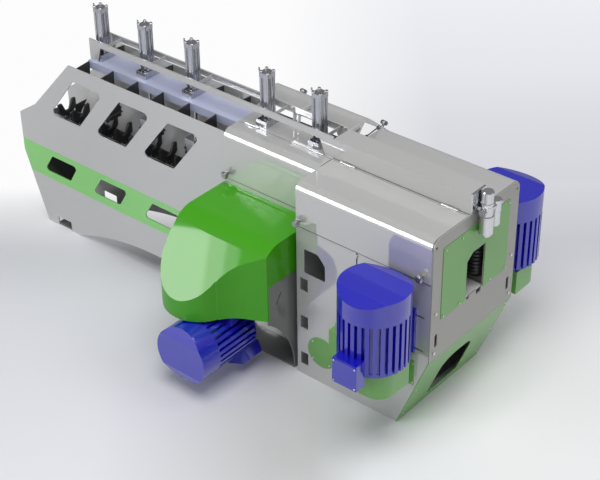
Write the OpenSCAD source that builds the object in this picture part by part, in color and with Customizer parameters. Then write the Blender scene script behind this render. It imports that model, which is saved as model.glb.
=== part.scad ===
// Log profiling saw: a log runs along +X over a dogged chain, is held down by five
// pneumatic rollers, squared by two chipping heads and ripped by two upright saw arbors.
// The origin is on the floor at the centre of the four anchor holes, with +Z up.

/* [Feed section] */
// Height of the log path, the tops of the chain dogs, above the floor
path_z = 895; // [880:1:910]
// Half width over the two feed side plates
feed_half_w = 248; // [236:1:262]
// Length of the feed section, from its infeed tip to the saw section
feed_length = 2918; // [2900:1:2980]
// Top of the feed side plates
feed_top_z = 1490; // [1485:1:1493]
// Thickness of the feed side plates
side_t = 8; // [6:1:10]
// X where the covered middle section begins
mid_x = 123; // [110:1:130]
// Height of the arch under the feed section
arch_top_z = 171; // [120:1:220]
// Radius of that arch
arch_r = 2211; // [2000:1:2400]
// Distance from one upper window to the next
window_pitch = 475; // [460:1:490]
// Distance from one lower slot to the next
slot_pitch = 530; // [500:1:540]
// Distance from one stiffener plate to the next
stiffener_pitch = 248; // [240:1:255]

/* [Saw section] */
// X where the saw section begins
saw_x = 924; // [918:1:935]
// Half width over the saw section
saw_half_w = 460; // [450:1:480]
// Length of the saw section, over the outfeed end plate
saw_length = 1071; // [1066:1:1086]
// X of the foot of the slanted end
foot_x = 1760; // [1735:1:1775]
// Height of the fold between the slanted and the upright end
fold_z = 600; // [570:1:620]
// Thickness of the saw side plates and the end plate
wall_t = 8; // [6:1:10]
// Thickness of the slanted end sheet
slant_t = 6; // [4:1:8]
// Half width of the outlet for the sawn timber
outlet_half_w = 98; // [90:1:100]
// Height of the outlet
outlet_h = 325; // [300:1:330]

/* [Covers and roof] */
// Top of the covers above the floor
cover_top_z = 1510; // [1506:1:1518]
// Sheet thickness of the covers
cover_t = 3; // [2:0.5:4]
// Radius of the bend along each cover
cover_r = 60; // [50:1:66]
// Lower edge of the middle covers
mid_cover_z = 1144; // [1120:1:1160]
// Lower edge of the saw covers
saw_cover_z = 1195; // [1185:1:1200]
// Half width of the fixed roof strip between the covers
roof_half_w = 95; // [92:1:99]
// Angle at which the rear middle cover stands open
open_angle = 49; // [30:1:60]
// Half width over the box and the rails on the roof
rail_half_w = 83; // [80:1:86]
// Top of the roof rails
rail_top_z = 1664; // [1655:1:1680]
// Top of the box along the saw section
box_top_z = 1650; // [1640:1:1654]

/* [Press rollers] */
// Side of the square cylinder barrels
barrel_w = 80; // [76:1:82]
// Top of the cylinder barrels
barrel_top_z = 1896; // [1880:1:1920]
// Diameter of the cylinder bores
piston_d = 63; // [50:1:64]
// Diameter of the piston rods
rod_d = 25; // [20:1:28]
// Diameter of the press rollers over their teeth
press_d = 150; // [140:1:156]
// Length of the press rollers
press_w = 120; // [110:1:124]
// Smallest log height under a press roller
min_log = 90; // [80:1:110]

/* [Feed chain] */
// Pitch of the feed chain
chain_pitch = 50.8; // [50:0.1:51.5]
// Teeth on each chain wheel
chain_teeth = 12; // [12:4:12]
// Chain pitches between the two wheels
chain_span = 52; // [51:1:52]
// X of the driving chain wheel
drive_x = 800; // [790:1:804]
// Diameter of the two chain shafts
chain_shaft_d = 50; // [40:1:55]
// Height of the dogs above the chain plates
dog_h = 30; // [26:1:34]

/* [Chipping heads] */
// X of the chipping heads and their motors
chip_x = 500; // [490:1:510]
// Height of the chipping spindles
chip_z = 995; // [990:1:1000]
// Diameter of the chipping discs
disc_d = 480; // [460:1:484]
// Diameter of the chipping spindles
spindle_d = 60; // [50:1:66]
// Height of the chipping motors
chip_motor_z = 328; // [320:1:340]
// Radius over the fins of the chipping motors
chip_motor_r = 210; // [200:1:213]
// Length of the chipping motors
chip_motor_l = 544; // [530:1:560]
// Distance of the motors' drive ends from the centreline
chip_motor_y = 606; // [600:1:612]
// Radius of the belt pulleys on the chipping drive
chip_pulley_r = 82; // [70:1:84]

/* [Saw arbors] */
// X of the front saw arbor
arbor_x = 1500; // [1495:1:1510]
// Stagger of the rear arbor behind the front one
arbor_stagger = 90; // [86:1:95]
// Distance of each arbor from the centreline
arbor_y = 210; // [208:1:211]
// Diameter of the saw blades
blade_d = 426; // [422:1:428]
// Saw blades on each arbor
blade_count = 6; // [4:1:6]
// Distance from one blade to the next
blade_pitch = 44; // [40:1:46]
// Diameter of the arbors
arbor_d = 60; // [50:1:66]
// X of the saw motors
saw_motor_x = 1760; // [1750:1:1765]
// Distance of the saw motors from the side plates
saw_motor_gap = 262; // [255:1:275]
// Radius over the fins of the saw motors
saw_motor_r = 230; // [220:1:234]
// Height of the drive ends of the saw motors
saw_motor_z = 690; // [686:1:700]
// Length of the saw motors
saw_motor_l = 560; // [540:1:580]
// Radius of the belt pulleys on the saw drive
saw_pulley_r = 62; // [55:1:66]

/* [Hoods] */
// Bottom edge of the chip hoods
hood_z = 546; // [544:1:550]
// Top of the chip hoods
hood_top_z = 1105; // [1100:1:1120]
// Sheet thickness of the hoods
hood_t = 4; // [3:0.5:5]
// Radius of the nose of each hood
hood_nose_r = 262; // [255:1:268]

/* [Outlet rollers] */
// Radius of the ribbed outlet rollers
out_roller_r = 65; // [60:1:66]
// Distance of their axes from the centreline
out_roller_y = 170; // [168:1:176]
// Distance from one rib to the next
rib_pitch = 28; // [24:1:32]

/* [Fits] */
// Radial clearance of the running fits
running = 0.05; // [0.02:0.01:0.08]
// Gap between pieces that pass close by
gap = 0.5; // [0.3:0.1:1]
// Radius of the floor anchor holes
anchor_r = 11; // [9:1:14]
// Distance of the anchor holes from the origin along X
anchor_x = 1624; // [1600:1:1640]
// Distance of the anchor holes from the origin along Y
anchor_y = 180; // [160:1:190]

/* [Hidden] */
$fn = 48;
front = -1;
rear = 1;
sheet_c = [0.73, 0.73, 0.72];
grey_c = [0.57, 0.565, 0.545];
green_c = [0.36, 0.66, 0.25];
blue_c = [0.22, 0.22, 0.72];
lilac_c = [0.66, 0.67, 0.8];
dark_c = [0.13, 0.13, 0.14];
alu_c = [0.7, 0.72, 0.76];
steel_c = [0.5, 0.51, 0.53];

infeed_x = saw_x - feed_length;
end_x = saw_x + saw_length;
beam_z = 1500;
beam_half_w = 110;
beam_t = 6;
beam_lip = 60;
inner_w = feed_half_w - side_t;
saw_inner_w = saw_half_w - wall_t;
mid_plate_z = cover_top_z - cover_r - 10;
cylinder_xs = [-1260, -820, -375, 302, 748];
press_z = path_z + min_log + press_d / 2;
yoke_t = 10;
yoke_w = press_w / 2 + 3;
tray_h = 50;
tray_x = 90;
tray_y = 146;
sprocket_r = chain_pitch / (2 * sin(180 / chain_teeth));
chain_h = 30;
chain_roller_r = 13;
chain_in = 12;
chain_out = 21;
chain_z = path_z - dog_h - chain_h / 2 - sprocket_r;
tail_x = drive_x - chain_span * chain_pitch;
chip_pulley_y = chip_motor_y - 16;
chip_pulley_w = 96;
belt_t = 8;
belt_seat = 0.4;
saw_motor_y = saw_half_w + saw_motor_gap;
saw_pulley_h = 110;
saw_pulley_drop = 12;
saw_pulley_z = saw_motor_z - saw_pulley_drop - saw_pulley_h;
blade_t = 4;
first_blade_z = path_z + 32;
arbor_top_z = 1345;
hinge_y = roof_half_w + 2;
hinge_r = 5.5;
hinge_z = cover_top_z + hinge_r + 0.5;
hinge_l = 40;
hinge_spots = [[-1, mid_x + 100], [-1, saw_x - 150], [-1, saw_x + 110], [-1, end_x - 170],
               [1, saw_x + 110], [1, end_x - 170]];
mid_hinge_y = 101;
mid_hinge_z = 1605;
strut_x = 893;
strut_foot = [180, 1475];
strut_head = [430, 1496];
out_roller_x = end_x - 105;

function unit(v) = v / norm(v);
function side_normal(a, b) = unit([a[1] - b[1], b[0] - a[0]]);
// Points that round the corner b between its neighbours a and c
function corner(a, b, c, r, n) =
  r <= 0 ? [b] :
  let (u = unit(a - b), v = unit(c - b), half = acos(u * v) / 2,
       centre = b + unit(u + v) * r / sin(half),
       s = b + u * r / tan(half) - centre,
       e = b + v * r / tan(half) - centre,
       from = atan2(s[1], s[0]),
       turn = atan2(e[1], e[0]) - from,
       sweep = turn > 180 ? turn - 360 : turn < -180 ? turn + 360 : turn)
  [for (i = [0:n]) centre + r * [cos(from + sweep * i / n), sin(from + sweep * i / n)]];
// A closed outline with one radius for all its corners, or a list of them
function rounded(pts, r, n = 6) =
  let (k = len(pts))
  [for (i = [0:k - 1]) each corner(pts[(i + k - 1) % k], pts[i], pts[(i + 1) % k],
                                   is_list(r) ? r[i] : r, n)];
// An open path moved sideways by d
function beside(path, d) =
  let (k = len(path))
  [for (i = [0:k - 1])
     let (n1 = side_normal(path[max(i - 1, 0)], path[max(i, 1)]),
          n2 = side_normal(path[min(i, k - 2)], path[min(i + 1, k - 1)]),
          m = unit(n1 + n2))
     path[i] + m * d / (m * n1)];
function backwards(path) = [for (i = [len(path) - 1:-1:0]) path[i]];
// The outline of a sheet of thickness t that follows an open path
function sheet(path, t) = concat(path, backwards(beside(path, t)));
function arc(c, r, from, to, n) =
  [for (i = [0:n]) c + r * [cos(from + (to - from) * i / n), sin(from + (to - from) * i / n)]];

module box(x0, x1, y0, y1, z0, z1) {
  translate([x0, y0, z0]) cube([x1 - x0, y1 - y0, z1 - z0]);
}
// A flat outline in X and Z, drawn from y0 to y0 + t
module xz_plate(y0, t) {
  translate([0, y0 + t, 0]) rotate([90, 0, 0]) linear_extrude(t) children();
}
// A flat outline in Y and Z, drawn from x0 to x0 + t
module yz_plate(x0, t) {
  translate([x0, 0, 0]) rotate([90, 0, 90]) linear_extrude(t) children();
}
module both_sides() {
  children();
  mirror([0, 1, 0]) children();
}
// Flips a piece that is drawn at the rear over to the front
module on_side(side) {
  mirror([0, side < 0 ? 1 : 0, 0]) children();
}
module rod_y(x, z, r, y0, y1) {
  translate([x, y1, z]) rotate([90, 0, 0]) cylinder(r = r, h = y1 - y0);
}
module rod_x(y, z, r, x0, x1) {
  translate([x0, y, z]) rotate([0, 90, 0]) cylinder(r = r, h = x1 - x0);
}
module rod_z(x, y, r, z0, z1) {
  translate([x, y, z0]) cylinder(r = r, h = z1 - z0);
}
module slot_2d(length, width) {
  square([length - width, width], center = true);
  for (s = [-1, 1]) translate([s * (length - width) / 2, 0]) circle(d = width);
}
module stadium_2d(r, span) {
  circle(r = r, $fn = 96);
  translate([span, 0]) circle(r = r, $fn = 96);
  translate([0, -r]) square([span, 2 * r]);
}

// Feed section

module feed_outline(windows) {
  left_foot = [-1798, -1450];
  tip_z = [577, 905];
  notch = [-1684, -1540, 80];
  arch_x = (left_foot[1] + 258) / 2;
  difference() {
    polygon([[left_foot[0], 0], [saw_x, 0], [saw_x, mid_plate_z], [mid_x, mid_plate_z],
             [mid_x, feed_top_z], [-1387, feed_top_z], [-1806, 1031],
             [infeed_x, tip_z[1]], [infeed_x, tip_z[0]]]);
    translate([arch_x, arch_top_z - arch_r]) circle(r = arch_r, $fn = 360);
    translate([notch[0], -1]) square([notch[1] - notch[0], notch[2] + 1]);
    if (windows) for (k = [0:2]) translate([k * window_pitch, 0])
      polygon(rounded([[-1353, 1368], [-1046, 1368], [-1325, 1008], [-1640, 1008]], 32));
    for (k = [0:2]) translate([k * slot_pitch, 0])
      polygon(rounded([[-1676, 625], [-1400, 625], [-1492, 475], [-1775, 475]], 24));
    // Openings where the chips leave, each side of the spindle
    for (s = [-1, 1]) translate([chip_x + s * 190, 843])
      polygon(rounded([[-80, -240], [80, -240], [80, 240], [-80, 240]], 30));
    // Access behind the middle cover, open at the end where the gas strut swings
    polygon([[450, 1190], [saw_x + 1, 1190], [saw_x + 1, mid_plate_z + 1],
             [saw_x - 50, mid_plate_z + 1], [saw_x - 50, 1390], [450, 1390]]);
    translate([chip_x, chip_z]) circle(r = 81 + gap);
  }
}
module feed_side(side) {
  color(sheet_c) on_side(side) xz_plate(inner_w, side_t) feed_outline(side == front);
}
module feed_stiffeners() {
  first_x = -1315;
  color(dark_c) both_sides() for (k = [0:5])
    yz_plate(first_x + k * stiffener_pitch, side_t)
      polygon([[beam_half_w, beam_z - 5], [inner_w, feed_top_z - 5],
               [inner_w, beam_z - 105], [beam_half_w, beam_z - 105]]);
}
module chain_bed() {
  plate_z = chain_z + sprocket_r - chain_h / 2 - 32;
  bed_x0 = tail_x + sprocket_r + 30;
  bed_x1 = drive_x - sprocket_r - 30;
  half = 85;
  color(grey_c) {
    box(bed_x0, bed_x1, -half, half, plate_z, plate_z + 8);
    // Wear rails under the chain plates
    both_sides()
      box(bed_x0, bed_x1, chain_in - 3, chain_out + 6, plate_z + 8,
          chain_z + sprocket_r - chain_h / 2 - gap);
    // Sloping ledges from the windows down to the bed
    both_sides() yz_plate(bed_x0, mid_x - bed_x0)
      polygon(sheet([[half, plate_z + 4], [inner_w - 3.5, plate_z + 180]], -4));
    for (x = [-1500, -900, -300, mid_x + 30])
      difference() {
        box(x, x + 60, -inner_w, inner_w, plate_z - 60, plate_z);
        box(x + 5, x + 55, -inner_w - 1, inner_w + 1, plate_z - 55, plate_z - 5);
      }
  }
}
module feed_chain() {
  dog_every = 3;
  color(dark_c) translate([tail_x, 0, chain_z]) {
    both_sides() xz_plate(chain_in, chain_out - chain_in) difference() {
      stadium_2d(sprocket_r + chain_h / 2, drive_x - tail_x);
      stadium_2d(sprocket_r - chain_h / 2, drive_x - tail_x);
    }
    // Dogs with a notched upper edge
    for (k = [2:dog_every:chain_span - 2]) translate([k * chain_pitch, 0, 0])
      yz_plate(-4, 8) difference() {
        translate([-chain_out, sprocket_r]) square([2 * chain_out, chain_h / 2 + dog_h]);
        translate([0, sprocket_r + chain_h / 2 + dog_h]) circle(r = 14, $fn = 24);
      }
  }
}
module feed_gearmotor() {
  case_w = 140;
  y0 = 118;
  y1 = inner_w - 62;
  color(blue_c) {
    difference() {
      box(drive_x - case_w / 2, drive_x + case_w / 2, y0, y1,
          chain_z - case_w / 2, chain_z + case_w / 2);
      rod_y(drive_x, chain_z, chain_shaft_d / 2 + running, y0 - 1, y1 + 1);
    }
    rod_z(drive_x, (y0 + y1) / 2, 68, chain_z - case_w / 2 - 250, chain_z - case_w / 2);
    // Torque arm to the rear side plate
    box(drive_x - 20, drive_x + 20, y1 - 1, inner_w, chain_z - 70, chain_z - 58);
  }
}
module top_beam() {
  x0 = -1320;
  color(lilac_c) difference() {
    yz_plate(x0, mid_x - x0)
      polygon(sheet([[-beam_half_w, beam_z - beam_lip], [-beam_half_w, beam_z],
                     [beam_half_w, beam_z], [beam_half_w, beam_z - beam_lip]], -beam_t));
    for (i = [0:2]) rod_z(cylinder_xs[i], 0, rod_d / 2 + 12, beam_z - 20, beam_z + 1);
  }
}
module rail_profile() {
  rail_t = 5;
  polygon([[rail_half_w, rail_top_z - 45], [rail_half_w, rail_top_z],
           [rail_half_w - 12, rail_top_z], [rail_half_w - 12, rail_top_z - rail_t],
           [rail_half_w - rail_t, rail_top_z - rail_t],
           [rail_half_w - rail_t, rail_top_z - 45]]);
}
module gantry_frame() {
  x0 = -1320;
  leg = 110;
  rail_t = 5;
  color(sheet_c) {
    both_sides() yz_plate(x0, saw_x - x0) rail_profile();
    // Legs at both ends of the rails
    both_sides() xz_plate(rail_half_w - rail_t, rail_t) {
      polygon([[x0, beam_z], [x0 + leg * 0.7, beam_z], [x0 + leg, rail_top_z - 45],
               [x0, rail_top_z - 45]]);
      polygon([[saw_x, cover_top_z], [saw_x - leg * 0.6, cover_top_z],
               [saw_x - leg, rail_top_z - 45], [saw_x, rail_top_z - 45]]);
    }
    // Lugs and pins of the rear middle cover
    for (x = arm_xs) {
      for (lug_x = [x - gap - 6, x + 30 + gap]) yz_plate(lug_x, 6)
        polygon([[rail_half_w - 5, cover_top_z], [roof_half_w, cover_top_z],
                 [mid_hinge_y + 14, mid_hinge_z - 4], [mid_hinge_y + 10, mid_hinge_z + 10],
                 [rail_half_w + 1, mid_hinge_z + 12], [rail_half_w - 5, mid_hinge_z]]);
      rod_x(mid_hinge_y, mid_hinge_z, 6, x - gap - 6, x + 36 + gap);
    }
    for (x = cylinder_xs) translate([x + 110, 0, 0])
      yz_plate(0, rail_t)
        polygon([[-rail_half_w + rail_t, rail_top_z - 45], [-rail_half_w + rail_t, rail_top_z - 5],
                 [rail_half_w - rail_t, rail_top_z - 5], [rail_half_w - rail_t, rail_top_z - 45],
                 [rail_half_w - 30, rail_top_z - 30], [-rail_half_w + 30, rail_top_z - 30]]);
  }
}
module roof_box() {
  strip_t = 10;
  color(sheet_c) {
    difference() {
      box(mid_x, end_x - wall_t, -roof_half_w, roof_half_w, cover_top_z - strip_t, cover_top_z);
      for (i = [3:4])
        rod_z(cylinder_xs[i], 0, rod_d / 2 + 12, cover_top_z - 20, cover_top_z + 1);
    }
    yz_plate(saw_x, end_x - wall_t - saw_x)
      polygon(sheet([[-rail_half_w, cover_top_z], [-rail_half_w, box_top_z],
                     [rail_half_w, box_top_z], [rail_half_w, cover_top_z]], -4));
    box(end_x - wall_t - 4, end_x - wall_t, -rail_half_w, rail_half_w, cover_top_z, box_top_z);
    // Fixed halves of the cover hinges, with their pins
    for (h = hinge_spots) on_side(h[0])
      for (x = [h[1] - hinge_l - gap, h[1] + hinge_l + gap]) {
        box(x, x + hinge_l, rail_half_w, hinge_y, cover_top_z, cover_top_z + 3);
        rod_x(hinge_y, hinge_z, hinge_r, x, x + hinge_l);
      }
    for (h = hinge_spots) on_side(h[0])
      rod_x(hinge_y, hinge_z, 3, h[1] - 5, h[1] + hinge_l + 5);
  }
}

// Saw section

slant_dir = unit([end_x - foot_x, fold_z]);
slant_in = slant_t / slant_dir[1] + 0.1;
module saw_outline() {
  disc = [1136, 258];
  difference() {
    polygon([[saw_x, 0], [foot_x - slant_in, 0], [end_x - slant_in, fold_z],
             [end_x - wall_t, fold_z], [end_x - wall_t, mid_plate_z], [saw_x, mid_plate_z]]);
    // Inspection window with one cut corner
    polygon(rounded([[saw_x + 65, 842], [saw_x + 238, 842], [saw_x + 238, 965],
                     [saw_x + 178, 1033], [saw_x + 65, 1033]], [12, 12, 40, 40, 12]));
    for (k = [0:2]) translate([saw_x + 61, 745 - k * 305]) square([64, 102], center = true);
    translate(disc) circle(r = 100);
    // Passage of the saw belts
    polygon(rounded([[1537, saw_pulley_z - 10], [1778, saw_pulley_z - 10],
                     [1778, saw_pulley_z + saw_pulley_h + 6],
                     [1537, saw_pulley_z + saw_pulley_h + 6]], 16));
    // Slots along which the motor feet are set
    for (p = [[135, -21], [135, 235], [-135, 235]])
      translate([saw_motor_x + p[0], saw_motor_z + p[1]]) slot_2d(104, 14);
    // Access behind the saw cover
    translate([saw_x + 66, 1215]) square([340, 185]);
    translate([1700, 1215]) square([230, 185]);
  }
}
module saw_side(side) {
  color(sheet_c) on_side(side) xz_plate(saw_inner_w, wall_t) saw_outline();
}
module saw_end_plate() {
  ear = [397, 742];
  color(grey_c) yz_plate(end_x - wall_t, wall_t) difference() {
    polygon(rounded([[-saw_half_w, fold_z], [saw_half_w, fold_z],
                     [saw_half_w, cover_top_z], [-saw_half_w, cover_top_z]],
                    [0, 0, cover_r, cover_r], 10));
    translate([-outlet_half_w, path_z]) square([2 * outlet_half_w, outlet_h]);
    translate([-outlet_half_w + 20, path_z - 24]) square([26, 25]);
    translate([30, path_z - 40]) square([52, 41]);
    for (s = [-1, 1]) translate([s * ear[0], ear[1]]) rotate(90) slot_2d(100, 28);
    for (s = [-1, 1]) translate([s * 431, 1452]) circle(r = 9);
  }
}
module saw_end_cover() {
  color(green_c) yz_plate(end_x, 4) difference() {
    polygon(rounded([[-360, 885], [358, 885], [358, 1414], [-360, 1414]], 6, 2));
    polygon([[-outlet_half_w, 884], [outlet_half_w, 884], [outlet_half_w, path_z + outlet_h],
             [-outlet_half_w + 60, path_z + outlet_h], [-outlet_half_w, path_z + outlet_h - 45]]);
  }
}
module saw_slant_plate() {
  arch_w = 334;
  arch_h = 300;
  low = [foot_x, 0];
  length = norm([end_x - foot_x, fold_z]);
  angle = atan2(fold_z, end_x - foot_x);
  color(green_c) translate([low[0], 0, low[1]]) rotate([0, -angle, 0])
    linear_extrude(slant_t) difference() {
      translate([0, -saw_half_w]) square([length - slant_t / 2, 2 * saw_half_w]);
      polygon(rounded([[80, -arch_w / 2], [80 + arch_h + 60, -arch_w / 2],
                       [80 + arch_h + 60, arch_w / 2], [80, arch_w / 2]],
                      [0, 110, 110, 0], 8));
    }
}
module saw_inner_frame() {
  table_half = 100;
  wall_x = saw_x + 0;
  color(grey_c) {
    yz_plate(wall_x, wall_t) difference() {
      translate([-saw_inner_w, 0]) square([2 * saw_inner_w, mid_plate_z]);
      translate([-190, path_z - 60]) square([380, 480]);
      translate([-150, 120]) square([300, 420]);
    }
    box(wall_x + wall_t, end_x - wall_t, -table_half, table_half, path_z - 10, path_z);
    // Lug and pin of the gas strut
    box(wall_x, wall_x + wall_t, strut_foot[0] - 16, strut_foot[0] + 16, mid_plate_z - 1,
        strut_foot[1] + 14);
    rod_x(strut_foot[0], strut_foot[1], 5, strut_x - 7, wall_x + wall_t);
    // Webs under the table, cut back along the slanted end
    both_sides() xz_plate(table_half - 10, 10) difference() {
      polygon([[wall_x + wall_t, 500], [end_x - wall_t - 50, 500],
               [end_x - wall_t, fold_z + 10], [end_x - wall_t, path_z - 10],
               [wall_x + wall_t, path_z - 10]]);
      translate([wall_x + 120, 700]) square([end_x - wall_x - 240, path_z - 760]);
    }
    // Fences that guide the squared log to the blades
    both_sides()
      box(wall_x + wall_t, 1270, table_half, table_half + 8, path_z - 10, path_z + 180);
    for (x = [1020, 1350, 1860])
      box(x, x + 60, -saw_inner_w, saw_inner_w, 440, 500);
  }
}

// Consoles under the hoods, with the plates that stand on the floor

base_t = 12;
swing_pivot = [628, 588];
swing_pivot_r = 22;
module console_outline() {
  arc_c = [1069, 0];
  arc_r = 625;
  difference() {
    polygon(concat([[feed_half_w, 1040], [feed_half_w, base_t]],
                   arc(arc_c, arc_r, 178.9, 125.4, 14),
                   [[707, 1040]]));
    translate([603, 673]) rotate(-60) slot_2d(96, 22);
    translate(swing_pivot) circle(r = swing_pivot_r);
  }
}
module consoles_and_feet() {
  plate_t = 8;
  left_x = hood_left_x + hood_t;
  right_x = hood_right_x - hood_t;
  swing_z = chip_motor_z + chip_motor_r + 12;
  color(grey_c) {
    both_sides() {
      for (x = [left_x, right_x - plate_t]) yz_plate(x, plate_t) console_outline();
      box(left_x, right_x, feed_half_w, 448, 0, base_t);
      // Plate that carries the motor, on a cross shaft between the console plates
      rod_x(swing_pivot[0], swing_pivot[1], swing_pivot_r, left_x, right_x);
      translate([chip_x, 0, swing_z]) linear_extrude(14)
        polygon([[-190, 640], [190, 640], [190, 800], [75, 925], [-190, 925]]);
      for (s = [-1, 1])
        box(chip_x + s * 150 - 12, chip_x + s * 150 + 12, swing_pivot[0] - 20, 660,
            swing_z + 8, swing_pivot[1] + 8);
    }
    // Floor plates with the anchor holes
    difference() {
      union() {
        box(-anchor_x - 80, -anchor_x + 80, -inner_w, inner_w, 0, base_t);
        box(anchor_x - 80, anchor_x + 80, -saw_inner_w, saw_inner_w, 0, base_t);
      }
      for (sx = [-1, 1]) for (sy = [-1, 1])
        rod_z(sx * anchor_x, sy * anchor_y, anchor_r, -1, base_t + 1);
    }
  }
}

// Chip hood, drawn at the rear: the plan outline and the side profile are cut together

hood_left_x = 114;
hood_right_x = 890;
nose = [hood_left_x + hood_nose_r, 795];
function hood_plan(inset) =
  let (path = concat([[hood_right_x, feed_half_w]], [[hood_right_x, 716], [754, 782]],
                     arc([884, 1060], 306.5, 244.9, 211.4, 8),
                     arc(nose, hood_nose_r, 25, 180, 24),
                     [[hood_left_x, feed_half_w]]))
  beside(path, inset);
function hood_profile(inset) =
  let (flat = [[feed_half_w, hood_top_z], [667, hood_top_z], [1100, hood_top_z - 460]],
       path = concat([flat[0]], corner(flat[0], flat[1], flat[2], 200, 9), [flat[2]]))
  beside(path, -inset);
module hood_solid(inset, drop, back) {
  intersection() {
    translate([0, 0, hood_z - drop]) linear_extrude(900)
      polygon([for (p = hood_plan(inset)) [p[0], p[1] == feed_half_w ? p[1] - back : p[1]]]);
    yz_plate(0, 1000)
      polygon(concat([for (p = hood_profile(inset)) [p[0] == feed_half_w ? p[0] - back : p[0], p[1]]],
                     [[1100, hood_z - drop], [feed_half_w - back, hood_z - drop]]));
  }
}
module chip_hoods() {
  color(green_c) both_sides() difference() {
    hood_solid(0, 0, 0);
    hood_solid(hood_t, 5, 5);
    // The side towards the saw section is open below
    box(hood_right_x - 20, hood_right_x + 1, feed_half_w - 1, 702, hood_z - 1, 811);
  }
}

// Press units

module cylinder_unit(x, base_z) {
  cap = 32;
  bore_z0 = base_z + 10 + cap;
  bore_z1 = barrel_top_z - cap;
  translate([x, 0, 0]) {
    // Tray that carries the cylinder
    difference() {
      box(-tray_x / 2, tray_x / 2, -tray_y / 2, tray_y / 2, base_z, base_z + tray_h);
      box(-tray_x / 2 + 8, tray_x / 2 - 8, -tray_y / 2 + 8, tray_y / 2 - 8,
          base_z + 10, base_z + tray_h + 1);
      rod_z(0, 0, rod_d / 2 + 4, base_z - 1, base_z + 11);
    }
    difference() {
      union() {
        for (z = [base_z + 10, bore_z1]) translate([0, 0, z]) linear_extrude(cap)
          polygon(rounded([[-1, -1], [1, -1], [1, 1], [-1, 1]] * (barrel_w / 2), 8, 2));
        rod_z(0, 0, piston_d / 2 + 5, bore_z0, bore_z1);
        for (sx = [-1, 1]) for (sy = [-1, 1])
          rod_z(sx * (barrel_w / 2 - 10), sy * (barrel_w / 2 - 10), 9, bore_z0,
                bore_z1 + cap + 12);
      }
      rod_z(0, 0, piston_d / 2 + running, bore_z0, bore_z1);
      rod_z(0, 0, rod_d / 2 + running, base_z, bore_z0 + 1);
    }
  }
}
module press_cylinders() {
  color(alu_c) for (i = [0:4])
    cylinder_unit(cylinder_xs[i], i < 3 ? beam_z : cover_top_z);
}
module press_rod(i) {
  x = cylinder_xs[i];
  base_z = i < 3 ? beam_z : cover_top_z;
  bore_z0 = base_z + 42;
  bridge_z = press_z + press_d / 2 + 12;
  color(steel_c) translate([x, 0, 0]) {
    rod_z(0, 0, rod_d / 2, bridge_z + 10, bore_z0 + 5);
    rod_z(0, 0, piston_d / 2, bore_z0 + gap, bore_z0 + 25);
    difference() {
      union() {
        box(-45, 45, -yoke_w - yoke_t, yoke_w + yoke_t, bridge_z, bridge_z + 18);
        both_sides() xz_plate(yoke_w, yoke_t)
          polygon([[-45, bridge_z + 1], [45, bridge_z + 1], [26, press_z - 26],
                   [-26, press_z - 26]]);
        rod_z(0, 0, 26, bridge_z + 17, bridge_z + 45);
      }
      rod_y(0, press_z, 12 + running, -yoke_w - yoke_t - 1, yoke_w + yoke_t + 1);
    }
  }
}
module press_roller(i) {
  teeth = 12;
  root_r = press_d / 2 - 14;
  tooth = 360 / teeth;
  color(dark_c) translate([cylinder_xs[i], press_w / 2, press_z]) rotate([90, 0, 0]) {
    linear_extrude(press_w)
      polygon([for (k = [0:teeth - 1]) for (p = [[root_r, 0], [root_r, tooth * 0.45],
                                               [press_d / 2, tooth * 0.62],
                                               [press_d / 2, tooth * 0.8]])
               p[0] * [cos(k * tooth + p[1]), sin(k * tooth + p[1])]]);
    translate([0, 0, -yoke_t - 8]) cylinder(r = 12, h = press_w + 2 * yoke_t + 16);
  }
}

// Motors, drawn upright with the drive end at z = 0 and the fan on top

function fins(r, count, depth) =
  let (step = 360 / count)
  [for (k = [0:count - 1]) for (p = [[r, 0], [r, step * 0.55], [r - depth, step * 0.62],
                                   [r - depth, step * 0.93]])
     p[0] * [cos(k * step + p[1]), sin(k * step + p[1])]];
module motor_housing(r, length) {
  cowl_h = 164;
  difference() {
    union() {
      translate([0, 0, 26]) linear_extrude(length - cowl_h - 26) polygon(fins(r, 30, 34));
      cylinder(r = r - 30, h = 27);
    }
    translate([0, 0, -1]) cylinder(r = 30 + running, h = 121);
  }
}
module motor_cowl(r, length) {
  cowl_h = 164;
  edge = 36;
  translate([0, 0, length - cowl_h]) difference() {
    cylinder(r = r, h = cowl_h, $fn = 96);
    // Flats that slope away on both sides of the flat crown
    for (s = [-1, 1]) translate([0, s * (r * 0.59), cowl_h]) rotate([s * -20.5, 0, 0])
      translate([-r - 1, s > 0 ? 0 : -r, 0]) cube([2 * r + 2, r, edge * 3]);
  }
}
module terminal_box(r) {
  translate([-90, -r - 58, -46]) cube([180, 84, 190]);
}
module motor_shaft(pulley_r, pulley_h, drop) {
  grooves = 4;
  step = pulley_h / grooves;
  rotate_extrude() {
    translate([0, -drop - pulley_h - 8]) square([30, drop + pulley_h + 126]);
    polygon(concat([[29, -drop - pulley_h]],
                   [for (k = [0:grooves - 1]) each [
                      [pulley_r, -drop - pulley_h + k * step],
                      [pulley_r, -drop - pulley_h + k * step + step * 0.25],
                      [pulley_r - 10, -drop - pulley_h + k * step + step * 0.45],
                      [pulley_r - 10, -drop - pulley_h + k * step + step * 0.8]]],
                   [[pulley_r, -drop], [29, -drop]]));
  }
}
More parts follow.
